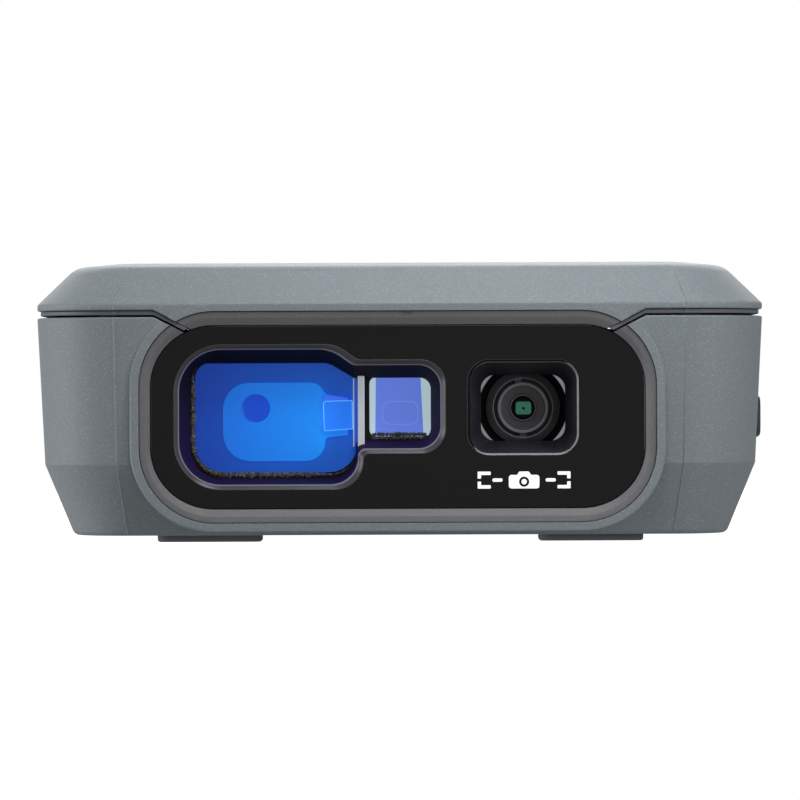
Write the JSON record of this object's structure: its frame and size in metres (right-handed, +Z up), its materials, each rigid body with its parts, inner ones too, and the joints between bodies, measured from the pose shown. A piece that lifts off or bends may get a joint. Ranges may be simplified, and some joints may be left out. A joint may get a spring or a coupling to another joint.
{
  "type": "handheld scanner",
  "caption": "Handheld laser measuring scanner: slim box with lens, laser and camera in a front window, display and keys on top, battery door below, fold-out stop lever.",
  "frame": {"origin": "under the middle of the body, on the surface that the feet stand on", "axes": "+X across the body to its right as seen from the rear end, -Y out of the front window, +Y to the rear end with the stop lever, +Z up, out of the display"},
  "size_m": [0.0648, 0.142, 0.0255],
  "materials": {
    "soft_grey_overmould": "soft-touch overmould with a fine grain",
    "dark_grey_plastic": "fine-textured injection moulding",
    "black_plastic": "black glass-filled moulding",
    "black_glass": "back-painted black cover glass",
    "blue_coated_glass": "blue filter glass with an anti-reflection coating",
    "violet_coated_glass": "coated window glass",
    "green_coated_glass": "coated lens glass",
    "display_panel": "dark display panel",
    "die_cast_alloy": "die cast, as cast",
    "steel": "bright nickel-plated steel",
    "brass": "turned brass",
    "circuit_board": "green solder resist on glass fibre",
    "black_rubber": "moulded rubber",
    "silicone_keypad": "moulded silicone rubber",
    "measure_key_orange": "moulded silicone rubber in a signal colour",
    "battery_wrap": "printed heat-shrink film",
    "label_silver": "blank silver label film"
  },
  "bodies": {
    "housing": {"battery_contacts": "brass", "battery_pack": "battery_wrap", "battery_tray": "dark_grey_plastic", "camera_barrel": "black_plastic", "camera_board": "circuit_board", "camera_can": "steel", "camera_holder": "black_plastic", "camera_lens": "green_coated_glass", "collimator_lens": "green_coated_glass", "detector_board": "circuit_board", "detector_chip": "black_plastic", "detector_shield": "steel", "display_glass": "black_glass", "display_panel": "display_panel", "display_tray": "dark_grey_plastic", "dome_sheet": "steel", "emitter_window": "violet_coated_glass", "foot_1": "black_rubber", "foot_2": "black_rubber", "foot_3": "black_rubber", "foot_4": "black_rubber", "housing_screw_1": "steel", "housing_screw_2": "steel", "housing_screw_3": "steel", "housing_screw_4": "steel", "housing_seal": "black_rubber", "keypad_mat": "silicone_keypad", "laser_barrel": "brass", "laser_diode": "steel", "light_barrier": "die_cast_alloy", "lower_housing": "soft_grey_overmould", "main_board": "circuit_board", "optics_carrier": "die_cast_alloy", "optics_hood": "black_plastic", "port_flap_pin": "steel", "port_socket": "steel", "rating_plate": "label_silver", "receiver_lens": "blue_coated_glass", "side_switch": "steel", "speaker": "steel", "stop_lever_pin": "steel", "strap_pin": "steel", "tripod_insert": "brass", "upper_housing": "soft_grey_overmould", "window_glass": "black_glass", "window_trim_lower": "dark_grey_plastic", "window_trim_upper": "dark_grey_plastic"},
    "measure_key": {"measure_key": "measure_key_orange"},
    "left_soft_key": {"left_soft_key": "silicone_keypad"},
    "right_soft_key": {"right_soft_key": "silicone_keypad"},
    "minus_key": {"minus_key": "silicone_keypad"},
    "plus_key": {"plus_key": "silicone_keypad"},
    "function_key": {"function_key": "silicone_keypad"},
    "power_key": {"power_key": "silicone_keypad"},
    "camera_key": {"camera_key": "silicone_keypad"},
    "side_key": {"side_key": "silicone_keypad"},
    "stop_lever": {"stop_lever": "dark_grey_plastic"},
    "port_flap": {"port_flap": "black_rubber"},
    "battery_door": {"battery_door": "soft_grey_overmould"},
    "door_latch": {"door_latch": "dark_grey_plastic"}
  },
  "joints": [
    {"name": "measure_key_press", "type": "slide", "parent": "housing", "child": "measure_key", "axis": [0, 0, -1], "range_m": [0, 0.0005], "stiffness_N_per_m": 1500},
    {"name": "left_soft_key_press", "type": "slide", "parent": "housing", "child": "left_soft_key", "axis": [0, 0, -1], "range_m": [0, 0.0005], "stiffness_N_per_m": 1500},
    {"name": "right_soft_key_press", "type": "slide", "parent": "housing", "child": "right_soft_key", "axis": [0, 0, -1], "range_m": [0, 0.0005], "stiffness_N_per_m": 1500},
    {"name": "minus_key_press", "type": "slide", "parent": "housing", "child": "minus_key", "axis": [0, 0, -1], "range_m": [0, 0.0005], "stiffness_N_per_m": 1500},
    {"name": "plus_key_press", "type": "slide", "parent": "housing", "child": "plus_key", "axis": [0, 0, -1], "range_m": [0, 0.0005], "stiffness_N_per_m": 1500},
    {"name": "function_key_press", "type": "slide", "parent": "housing", "child": "function_key", "axis": [0, 0, -1], "range_m": [0, 0.0005], "stiffness_N_per_m": 1500},
    {"name": "power_key_press", "type": "slide", "parent": "housing", "child": "power_key", "axis": [0, 0, -1], "range_m": [0, 0.0005], "stiffness_N_per_m": 1500},
    {"name": "camera_key_press", "type": "slide", "parent": "housing", "child": "camera_key", "axis": [0, 0, -1], "range_m": [0, 0.0005], "stiffness_N_per_m": 1500},
    {"name": "side_key_press", "type": "slide", "parent": "housing", "child": "side_key", "axis": [-1, 0, 0], "range_m": [0, 0.0005], "stiffness_N_per_m": 1500},
    {"name": "stop_lever_hinge", "type": "hinge", "parent": "housing", "child": "stop_lever", "pos_m": [-0.01375, 0.068, 0.01273], "axis": [0, 0, 1], "range_deg": [0, 90]},
    {"name": "port_flap_hinge", "type": "hinge", "parent": "housing", "child": "port_flap", "pos_m": [-0.03072, 0.041, 0.0143], "axis": [0, 0, -1], "range_deg": [0, 100]},
    {"name": "battery_door_hinge", "type": "hinge", "parent": "housing", "child": "battery_door", "pos_m": [0, 0.0553, 0.0014], "axis": [1, 0, 0], "range_deg": [0, 45]},
    {"name": "door_latch_slide", "type": "slide", "parent": "battery_door", "child": "door_latch", "axis": [0, 1, 0], "range_m": [0, 0.0012], "stiffness_N_per_m": 200}
  ]
}
